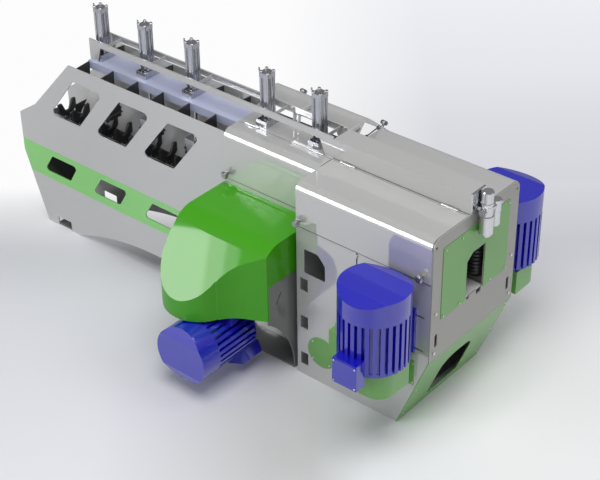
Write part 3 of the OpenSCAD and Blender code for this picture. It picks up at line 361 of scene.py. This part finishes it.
def cross_plate(bm, outline, x0, x1, edge):
    """A plate across the machine: an outline in Y and Z between two places along X."""
    verts = [bm.verts.new((x0, y, z)) for y, z in outline]
    face = bm.faces.new(verts)
    pushed = bmesh.ops.extrude_face_region(bm, geom=[face])["geom"]
    far = [g for g in pushed if isinstance(g, bmesh.types.BMVert)]
    bmesh.ops.translate(bm, verts=far, vec=(x1 - x0, 0, 0))
    broken(bm, edges_at(verts + far), edge)


def swept_pipe(bm, points, radius, sides=10):
    """A pipe along a few points, made by extruding its end ring."""
    ring = bmesh.ops.create_circle(bm, cap_ends=False, segments=sides, radius=radius)["verts"]
    start = Vector(points[0])
    heading = (Vector(points[1]) - start).normalized()
    bmesh.ops.transform(bm, verts=ring, matrix=Matrix.Translation(start) @ turned_to(heading))
    edges = edges_at(ring)
    before = heading
    for at in range(1, len(points)):
        here = Vector(points[at])
        coming = (here - Vector(points[at - 1])).normalized()
        leaving = coming
        if at + 1 < len(points):
            leaving = (Vector(points[at + 1]) - here).normalized()
        out = bmesh.ops.extrude_edge_only(bm, edges=edges)["geom"]
        ring = [g for g in out if isinstance(g, bmesh.types.BMVert)]
        edges = [g for g in out if isinstance(g, bmesh.types.BMEdge)]
        edges = [e for e in edges if all(v in ring for v in e.verts)]
        mitre = (coming + leaving).normalized()
        bmesh.ops.translate(bm, verts=ring, vec=here - Vector(points[at - 1]))
        turn = before.rotation_difference(mitre).to_matrix().to_4x4()
        bmesh.ops.transform(bm, verts=ring, matrix=Matrix.Translation(here) @ turn
                            @ Matrix.Translation(-here))
        before = mitre
    bmesh.ops.holes_fill(bm, edges=[e for e in bm.edges if e.is_boundary], sides=sides)


def chain_stations(pitch, first, last, step=1):
    """Places along the feed chain, counted in links from its tail shaft."""
    tail = DRIVE_SHAFT_X - LINKS_TO_TAIL * pitch
    return [tail + link * pitch for link in range(first, last, step)]


# Operators


class SAW_OT_camera(bpy.types.Operator):
    """Places the camera where the photograph was taken"""

    bl_idname = "profiling_saw.camera"
    bl_label = "Camera"

    def execute(self, context):
        data = bpy.data.cameras.new("saw_camera")
        data.lens = context.scene.saw_stage.lens
        data.sensor_width = 36.0
        data.clip_end = 100.0
        camera = bpy.data.objects.new("saw_camera", data)
        context.scene.collection.objects.link(camera)
        place = Vector((6.221143, -6.673174, 6.579724))
        right = Vector((0.7672554, 0.6412626, -0.0100709))
        down = Vector((0.3521627, -0.4343741, -0.8290359))
        ahead = Vector((-0.5360043, 0.6325357, -0.5591046))
        turn = Matrix((right, -down, -ahead)).transposed().to_4x4()
        camera.matrix_world = Matrix.Translation(place) @ turn
        context.scene.camera = camera
        return {"FINISHED"}


class SAW_OT_stage(bpy.types.Operator):
    """Builds the pale floor, the lamps and the world"""

    bl_idname = "profiling_saw.stage"
    bl_label = "Floor and lamps"

    def execute(self, context):
        scene = context.scene
        scene.view_settings.view_transform = "Standard"
        self.floor(scene)
        self.world(scene)
        self.lamps(scene)
        return {"FINISHED"}

    def floor(self, scene):
        bm = bmesh.new()
        bmesh.ops.create_grid(bm, x_segments=2, y_segments=2, size=scene.saw_stage.floor_half)
        mesh = bpy.data.meshes.new("studio_floor")
        bm.to_mesh(mesh)
        bm.free()
        floor = bpy.data.objects.new("studio_floor", mesh)
        scene.collection.objects.link(floor)
        mesh.materials.append(self.floor_finish())

    def floor_tones(self, tree, depth):
        """The cool greys that the floor takes from its near side to its far side"""
        near_side = -2.0
        far_side = 4.8
        tones = [(0.0, 0.88), (0.16, 0.84), (0.27, 0.82), (0.37, 0.74), (0.52, 0.68),
                 (0.66, 0.73), (0.78, 0.80), (1.0, 0.86)]
        made = tree.nodes.new("ShaderNodeValToRGB")
        ramp = made.color_ramp
        ends = list(ramp.elements)
        for element, (at, tone) in zip(ends, (tones[0], tones[-1])):
            element.position = at
            element.color = (tone * 0.985, tone * 0.99, tone * 1.04, 1)
        for at, tone in tones[1:-1]:
            ramp.elements.new(at).color = (tone * 0.985, tone * 0.99, tone * 1.05, 1)
        tree.links.new(spread(tree, depth, near_side, far_side), made.inputs["Fac"])
        return made.outputs["Color"]

    def floor_finish(self):
        mat, tree, bsdf = principled("studio_floor")
        coords = tree.nodes.new("ShaderNodeTexCoord")

        def along(direction):
            dot = node(tree, "ShaderNodeVectorMath", operation="DOT_PRODUCT")
            dot.inputs[1].default_value = direction
            tree.links.new(coords.outputs["Object"], dot.inputs[0])
            return dot.outputs["Value"]

        def where(*ramps):
            """Is 1 where each ramp, a value with its start and its end, has risen"""
            factor = spread(tree, *ramps[0])
            for ramp in ramps[1:]:
                factor = joined(tree, "MULTIPLY", factor, spread(tree, *ramp))
            return factor

        depth = along((-0.6465, 0.7630, 0.0))
        across = along((0.7673, 0.6413, 0.0))
        # Painted shadow: the floor in front of the hood is darkened to a lower grey
        painted_shadow_before_hood = where((across, -0.9, 0.2), (across, 0.85, 0.5), (depth, -0.6, -1.3))
        # Painted light: the floor in front of the outlet end is brightened to near white
        painted_light_before_outlet = where((across, 0.7, 1.7), (depth, 0.6, -0.6))
        behind_feed = where((across, 1.6, 0.2), (depth, 0.6, 1.5))
        tone = self.floor_tones(tree, depth)
        for patch, colour in ((painted_shadow_before_hood, (0.70, 0.70, 0.707)),
                              (painted_light_before_outlet, (0.97, 0.97, 0.9797)),
                              (behind_feed, (0.98, 0.98, 0.98))):
            tone = mixed(tree, tone, colour, patch)
        tree.links.new(tone, bsdf.inputs["Base Color"])
        bsdf.inputs["Roughness"].default_value = 0.9
        bsdf.inputs["Specular IOR Level"].default_value = 0.0
        # Behind the saw the camera sees the floor as a flat pale backdrop
        glow = node(tree, "ShaderNodeEmission", Strength=1.0)
        tree.links.new(tone, glow.inputs["Color"])
        rays = tree.nodes.new("ShaderNodeLightPath")
        seen = joined(tree, "MULTIPLY", where((depth, 0.4, 1.4)),
                      rays.outputs["Is Camera Ray"])
        mix = tree.nodes.new("ShaderNodeMixShader")
        tree.links.new(seen, mix.inputs["Fac"])
        tree.links.new(bsdf.outputs["BSDF"], mix.inputs[1])
        tree.links.new(glow.outputs["Emission"], mix.inputs[2])
        tree.links.new(mix.outputs["Shader"], tree.nodes["Material Output"].inputs["Surface"])
        return mat

    def world(self, scene):
        world = bpy.data.worlds.new("studio")
        world.use_nodes = True
        scene.world = world
        sky = world.node_tree.nodes["Background"]
        sky.inputs["Color"].default_value = (0.98, 0.985, 1.0, 1)
        sky.inputs["Strength"].default_value = 0.25

    def lamps(self, scene):
        # Name, place, point aimed at, shift in the lamp's own plane, width, height and power
        centred = (0.0, 0.0)
        hood = (0.3, -0.8, 0.9)
        lamps = (
            ("key", (2.6, -3.0, 9.0), (0.6, 0.0, 0.6), centred, 5.0, 5.0, 430.0),
            ("top", (4.5, 3.0, 8.5), (0.5, 0.0, 0.8), centred, 5.0, 5.0, 170.0),
            ("front", (-4.6, -8.5, 3.6), (-0.8, 0.0, 0.6), centred, 4.0, 4.0, 210.0),
            ("end", (7.5, 3.0, 4.5), (1.5, 0.0, 0.8), centred, 4.0, 4.0, 15.0))
        # Cards that only gloss mirrors. The three glows lie one close behind the other and
        # fade to one side.
        cards = (
            ("bend_wall", (-4.0, -7.6, 3.8), (-4.0, 0.0, 2.8), centred, 4.8, 4.2, 280.0),
            ("hood_glow_a", (-6.6, -6.8, 6.9), hood, (0.225, -0.87), 1.05, 1.26, 21.0),
            ("hood_glow_b", (-6.63, -6.83, 6.92), hood, (0.35, -0.87), 1.3, 1.26, 26.0),
            ("hood_glow_c", (-6.66, -6.86, 6.94), hood, (0.45, -0.87), 1.5, 1.26, 30.0))
        for values in lamps:
            self.area_lamp(scene, *values)
        for values in cards:
            self.area_lamp(scene, *values).visible_diffuse = False

    def area_lamp(self, scene, name, place, aim, shift, width, height, power):
        data = bpy.data.lights.new(name, "AREA")
        data.shape = "RECTANGLE"
        data.size = width
        data.size_y = height
        data.energy = power
        lamp = bpy.data.objects.new(name, data)
        scene.collection.objects.link(lamp)
        lamp.matrix_world = (Matrix.Translation(place)
                             @ turned_to(Vector(place) - Vector(aim))
                             @ Matrix.Translation((*shift, 0)))
        return lamp


class SAW_OT_finishes(bpy.types.Operator):
    """Mixes the paints and metals and coats the frame's own pieces"""

    bl_idname = "profiling_saw.finishes"
    bl_label = "Paints and metals"

    def execute(self, context):
        paint = context.scene.saw_paint
        trim = context.scene.saw_trim
        stripe_end_x = 0.3
        FINISHES.update(
            cabinet=enamel("cabinet_paint", paint.cabinet, roughness=0.4, coat=1.0,
                           peel=0.01, mirror=2.8),
            feed_side=striped_enamel("feed_side_paint", paint.cabinet, paint.stripe,
                                     trim.stripe_low, trim.stripe_high, stripe_end_x),
            # Partly painted light: the inner primer is lightened for the light inside the
            # cabinet
            inside=enamel("inner_primer_lightened", paint.inside, roughness=0.5, coat=0.0),
            end_plate=enamel("end_plate_paint", paint.end_plate, roughness=0.4, coat=0.5),
            # Painted shade: the consoles' paint is a darkened copy of the end plate's grey
            console=enamel("console_shaded_paint", paint.console, roughness=0.4, coat=0.5),
            hood=enamel("hood_paint", paint.hood, roughness=0.55, coat=0.35, peel=0.008,
                        mirror=1.6, sheen=0.2),
            guard=enamel("guard_paint", paint.guard, roughness=0.4, coat=0.5),
            motor=enamel("motor_enamel", paint.motor, roughness=0.45, coat=1.0, peel=0.01,
                         mirror=1.8, sheen=0.3),
            beam=enamel("beam_paint", paint.beam, roughness=0.4, coat=0.4),
            dark=enamel("stiffener_paint", (0.03, 0.03, 0.033), roughness=0.35, coat=0.5),
            # Near-black for the dark joint lines, and painted shade on the strips in the gaps
            # below the covers
            seam=moulded("joint_and_gap_shade", (0.02, 0.02, 0.021), roughness=0.6),
            iron=oxide("blackened_iron", paint.iron),
            steel=brushed("machined_steel", (0.55, 0.56, 0.58), (1, 0.05, 1)),
            blade=brushed("saw_steel", (0.5, 0.51, 0.53), (0.1, 1, 1), roughness=0.28),
            barrel=brushed("cylinder_aluminium", (0.58, 0.59, 0.63), (1, 1, 0.03),
                           roughness=0.25),
            bright=brushed("bright_aluminium", (0.75, 0.76, 0.78), (1, 1, 0.1),
                           roughness=0.18),
            zinc=brushed("zinc_screws", (0.80, 0.77, 0.74), (1, 1, 1), roughness=0.3,
                         grain=400.0),
            belt=moulded("belt_rubber", (0.02, 0.02, 0.02), roughness=0.7),
            knob=brushed("knob_aluminium", (0.42, 0.42, 0.43), (1, 1, 1), roughness=0.3,
                         grain=60.0),
        )
        coats = {
            "cabinet": ("gantry_frame", "roof_box", "saw_side_front", "saw_side_rear",
                        "cover_mid_front", "cover_mid_rear", "cover_saw_front",
                        "cover_saw_rear"),
            "feed_side": ("feed_side_front", "feed_side_rear"),
            "inside": ("chain_bed", "saw_inner_frame"),
            "end_plate": ("saw_end_plate", "bearing_units"),
            "console": ("consoles_and_feet",),
            "hood": ("chip_hoods",),
            "guard": ("saw_end_cover", "saw_slant_plate", "belt_guards"),
            "motor": ("chip_motor_housings", "saw_motor_housings", "motor_cowls",
                      "feed_gearmotor"),
            "beam": ("top_beam",),
            "dark": ("feed_stiffeners",),
            "iron": ("feed_chain", "outfeed_roller_front", "outfeed_roller_rear",
                     "strut_tube") + tuple("press_roller_%d" % k for k in range(1, 6)),
            "steel": ("chip_head_front", "chip_head_rear", "chip_motor_shaft_front",
                      "chip_motor_shaft_rear", "saw_motor_shaft_front",
                      "saw_motor_shaft_rear", "chain_drive_shaft", "chain_tail_shaft",
                      "strut_rod") + tuple("press_rod_%d" % k for k in range(1, 6)),
            "blade": ("saw_arbor_front", "saw_arbor_rear"),
            "barrel": ("press_cylinders",),
            "bright": ("air_service_unit", "regulator_knob"),
            "zinc": ("plate_bolts",),
            "belt": ("drive_belts",),
            "knob": ("knobs_mid_front", "knobs_mid_rear", "knobs_saw_front",
                     "knobs_saw_rear"),
        }
        coated = set()
        for finish, names in coats.items():
            for name in names:
                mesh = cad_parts[name].data
                mesh.materials.clear()
                mesh.materials.append(FINISHES[finish])
                coated.add(name)
        left = sorted(set(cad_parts) - coated)
        if left:
            raise RuntimeError("no finish for %s" % left)
        return {"FINISHED"}


class SAW_OT_plate_screws(bpy.types.Operator):
    """Adds the studs below the saw covers and the screws of the boxes and the slanted plate"""

    bl_idname = "profiling_saw.plate_screws"
    bl_label = "Plate screws"

    def execute(self, context):
        radius = context.scene.saw_trim.bolt_radius
        stud_z = 1.160
        box_x = (1.258, 1.878)
        box_z = (0.392, 0.545)
        box_y = 0.464
        slant_x = 1.760
        slant_run = 0.3916
        slant_y = 0.42
        slant_z = (0.06, 0.30, 0.56)
        slant_out = (0.931, 0, -0.365)
        bm = bmesh.new()
        for s in (-1, 1):
            # Stud in the slit below the saw cover
            hex_bolt(bm, (SLIT_X, s * (SAW_SIDE_Y + SEAM_DEPTH), stud_z), (0, s, 0), radius)
            # Flange of the box below the belt guard
            for x in box_x:
                for z in box_z:
                    cap_screw(bm, (x, s * box_y, z), (0, s, 0), radius * 0.75)
            # Sides of the slanted plate
            for z in slant_z:
                cap_screw(bm, (slant_x + slant_run * z, s * slant_y, z), slant_out,
                          radius * 0.7)
        piece("plate_screws", bm, "zinc", "frame")
        return {"FINISHED"}


class SAW_OT_motor_trim(bpy.types.Operator):
    """Adds the lids, screws and glands of the upright motors' terminal boxes"""

    bl_idname = "profiling_saw.motor_trim"
    bl_label = "Motor trim"

    def execute(self, context):
        lid_x = (1.666, 1.854)
        lid_z = (0.650, 0.828)
        lid_y = 1.010
        lid_half = 0.005
        screw_x = (1.68, 1.84)
        screw_z = (0.664, 0.814)
        gland = (1.76, 0.975, 0.644)
        lids = bmesh.new()
        glands = bmesh.new()
        for s in (-1, 1):
            bar(lids, (lid_x[0], s * lid_y - lid_half, lid_z[0]),
                (lid_x[1], s * lid_y + lid_half, lid_z[1]), edge=0.003)
            for x in screw_x:
                for z in screw_z:
                    cap_screw(glands, (x, s * (lid_y + lid_half), z), (0, s, 0),
                              radius=0.006)
            prism(glands, (gland[0], s * gland[1], gland[2]), (0, 0, -1), radius=0.017,
                  height=0.022, sides=6, chamfer=0.002)
        piece("terminal_lids", lids, "motor", "frame")
        piece("terminal_glands", glands, "zinc", "frame")
        return {"FINISHED"}


class SAW_OT_cylinder_trim(bpy.types.Operator):
    """Adds the nuts of the tie rods and the air fittings of the press cylinders"""

    bl_idname = "profiling_saw.cylinder_trim"
    bl_label = "Cylinder trim"

    def execute(self, context):
        centres = (-1.260, -0.820, -0.375, 0.302, 0.748)
        feet_z = (1.500, 1.500, 1.500, 1.510, 1.510)
        rod_offset = 0.030
        cap_z = 1.896
        upper_port_z = 1.880
        lower_port = 0.060
        port_face = 0.040
        elbow = ((0.046, 0.0), (0.058, 0.0), (0.066, 0.003), (0.069, 0.011), (0.069, 0.024))
        nuts = bmesh.new()
        fittings = bmesh.new()
        for x, foot_z in zip(centres, feet_z):
            for sx in (-1, 1):
                for sy in (-1, 1):
                    place = (x + sx * rod_offset, sy * rod_offset, cap_z)
                    prism(nuts, place, (0, 0, 1), radius=0.0125, height=0.009, sides=6,
                          chamfer=0.001, turn=0.4)
            for z in (foot_z + lower_port, upper_port_z):
                prism(fittings, (x - port_face, 0.0, z), (-1, 0, 0), radius=0.011,
                      height=0.008, sides=6, chamfer=0.001)
                swept_pipe(fittings, [(x - out, 0, z + up) for out, up in elbow],
                           radius=0.006)
        piece("tie_rod_nuts", nuts, "zinc", "frame")
        piece("air_fittings", fittings, "bright", "frame")
        return {"FINISHED"}


class SAW_OT_chain_trim(bpy.types.Operator):
    """Adds the pins of the feed chain and the bolts of its dogs"""

    bl_idname = "profiling_saw.chain_trim"
    bl_label = "Chain pins"

    def execute(self, context):
        pitch = context.scene.saw_trim.link_pitch
        plate_y = 0.021
        pin_z = 0.850
        bolt_y = 0.012
        bolt_z = 0.876
        dog_face = 0.004
        pins = bmesh.new()
        bolts = bmesh.new()
        for x in chain_stations(pitch, 1, LINKS_TO_TAIL):
            for s in (-1, 1):
                prism(pins, (x, s * plate_y, pin_z), (0, s, 0), radius=0.006,
                      height=0.003, sides=10, chamfer=0.001)
        for x in chain_stations(pitch, *SADDLED_LINKS):
            for s in (-1, 1):
                prism(bolts, (x + dog_face, s * bolt_y, bolt_z), (1, 0, 0), radius=0.005,
                      height=0.004, sides=6, chamfer=0.0008)
        piece("chain_pins", pins, "zinc", "frame")
        piece("dog_bolts", bolts, "zinc", "frame")
        return {"FINISHED"}


class SAW_OT_chain_saddles(bpy.types.Operator):
    """Adds the notched saddles on the chain, its side rails and the infeed shield"""

    bl_idname = "profiling_saw.chain_saddles"
    bl_label = "Chain saddles"

    def execute(self, context):
        pitch = context.scene.saw_trim.link_pitch
        half_saddle = 0.010
        half = [(0.045, 0.866), (0.086, 0.900), (0.086, 0.972), (0.052, 0.972),
                (0.018, 0.898)]
        saddle = half + [(-y, z) for y, z in reversed(half)]
        saddles = bmesh.new()
        for x in chain_stations(pitch, *SADDLED_LINKS):
            cross_plate(saddles, saddle, x - half_saddle, x + half_saddle, edge=0.0015)
        piece("chain_saddles", saddles, "iron", "frame")
        rail_x = (-1.710, 0.670)
        rail_y = (0.060, 0.078)
        rail_z = (0.8112, 0.862)
        rails = bmesh.new()
        for s in (-1, 1):
            near, far = sorted(s * y for y in rail_y)
            bar(rails, (rail_x[0], near, rail_z[0]), (rail_x[1], far, rail_z[1]),
                edge=0.003)
        piece("saddle_rails", rails, "iron", "frame")
        shield_x = (-1.778, -1.770)
        arm = [(0.239, 0.150), (0.239, 0.880), (0.110, 0.880), (0.110, 0.630)]
        shield = bmesh.new()
        outline = arm + [(-y, z) for y, z in reversed(arm)]
        cross_plate(shield, outline, *shield_x, edge=0.0008)
        piece("infeed_shield", shield, "dark", "frame")
        return {"FINISHED"}


class SAW_OT_seams(bpy.types.Operator):
    """Adds dark strips along the covers' lower edges, painted shade for the gaps there, and the
    dark joint lines
    """

    bl_idname = "profiling_saw.seams"
    bl_label = "Seams"

    def execute(self, context):
        strip = context.scene.saw_trim.seam
        end_gap = 0.001
        proud = 0.0004
        under = 0.0042
        under_open = 0.0034
        edge_width = 0.0006
        # Painted shade: a dark strip along each cover's lower edge stands in for the shade in
        # the gap between the cover and the side plate
        for cover, body, s in (("cover_mid_front", "mid_cover_front", -1),
                               ("cover_saw_front", "saw_cover_front", -1),
                               ("cover_saw_rear", "saw_cover_rear", 1)):
            low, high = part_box(cover)
            edge = low[1] if s < 0 else high[1]
            near, far = sorted((edge - s * under, edge + s * proud))
            bm = bmesh.new()
            bar(bm, (low[0] + end_gap, near, low[2] - strip),
                (high[0] - end_gap, far, low[2]), edge_width)
            piece("gap_shade_" + cover, bm, "seam", body)
        # The open cover's dark strip is drawn shut and turned about the cover's pivot
        low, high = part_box("cover_mid_front")
        bm = bmesh.new()
        bar(bm, (low[0] + end_gap, -low[1] - under_open, low[2] - strip),
            (high[0] - end_gap, -low[1] + proud, low[2]), edge_width)
        pivot = Vector((0.0, 0.101, 1.605))
        opening = math.radians(49)
        bmesh.ops.rotate(bm, verts=bm.verts, cent=pivot,
                         matrix=Matrix.Rotation(opening, 3, "X"))
        piece("gap_shade_cover_mid_rear", bm, "seam", "mid_cover_rear")
        roof_x = (0.926, 1.985)
        roof_y = (0.0828, 0.0845)
        roof_z = (1.5101, 1.5132)
        slit_half = 0.004
        slit_z = (1.050, 1.186)
        lines = bmesh.new()
        for s in (-1, 1):
            # Joint between the roof box and the strip below it
            near, far = sorted(s * y for y in roof_y)
            bar(lines, (roof_x[0], near, roof_z[0]), (roof_x[1], far, roof_z[1]))
            # Slit below the saw cover
            near, far = sorted((s * SAW_SIDE_Y, s * (SAW_SIDE_Y + SEAM_DEPTH)))
            bar(lines, (SLIT_X - slit_half, near, slit_z[0]),
                (SLIT_X + slit_half, far, slit_z[1]))
        piece("joint_lines", lines, "seam", "frame")
        return {"FINISHED"}


class SAW_PT_panel(bpy.types.Panel):
    """Lists the steps that dress the saw"""

    bl_idname = "SAW_PT_panel"
    bl_label = "Log profiling saw"
    bl_space_type = "VIEW_3D"
    bl_region_type = "UI"
    bl_category = "Profiling saw"

    def draw(self, context):
        layout = self.layout
        for step in STEPS:
            layout.operator("profiling_saw." + step)
        for group in (context.scene.saw_paint, context.scene.saw_trim,
                      context.scene.saw_stage):
            column = layout.column()
            for name in group.__annotations__:
                column.prop(group, name)


STEPS = ("camera", "stage", "finishes", "plate_screws", "motor_trim", "cylinder_trim",
         "chain_trim", "chain_saddles", "seams")
CLASSES = (PaintColours, TrimSizes, StageSizes, SAW_OT_camera, SAW_OT_stage,
           SAW_OT_finishes, SAW_OT_plate_screws, SAW_OT_motor_trim, SAW_OT_cylinder_trim,
           SAW_OT_chain_trim, SAW_OT_chain_saddles, SAW_OT_seams, SAW_PT_panel)


def register():
    for cls in CLASSES:
        bpy.utils.register_class(cls)
    bpy.types.Scene.saw_paint = bpy.props.PointerProperty(type=PaintColours)
    bpy.types.Scene.saw_trim = bpy.props.PointerProperty(type=TrimSizes)
    bpy.types.Scene.saw_stage = bpy.props.PointerProperty(type=StageSizes)


def unregister():
    del bpy.types.Scene.saw_stage
    del bpy.types.Scene.saw_trim
    del bpy.types.Scene.saw_paint
    for cls in reversed(CLASSES):
        bpy.utils.unregister_class(cls)


def main():
    register()
    steps = bpy.ops.profiling_saw
    steps.camera()
    steps.stage()
    steps.finishes()
    steps.plate_screws()
    steps.motor_trim()
    steps.cylinder_trim()
    steps.chain_trim()
    steps.chain_saddles()
    steps.seams()


if __name__ == "__main__":
    main()
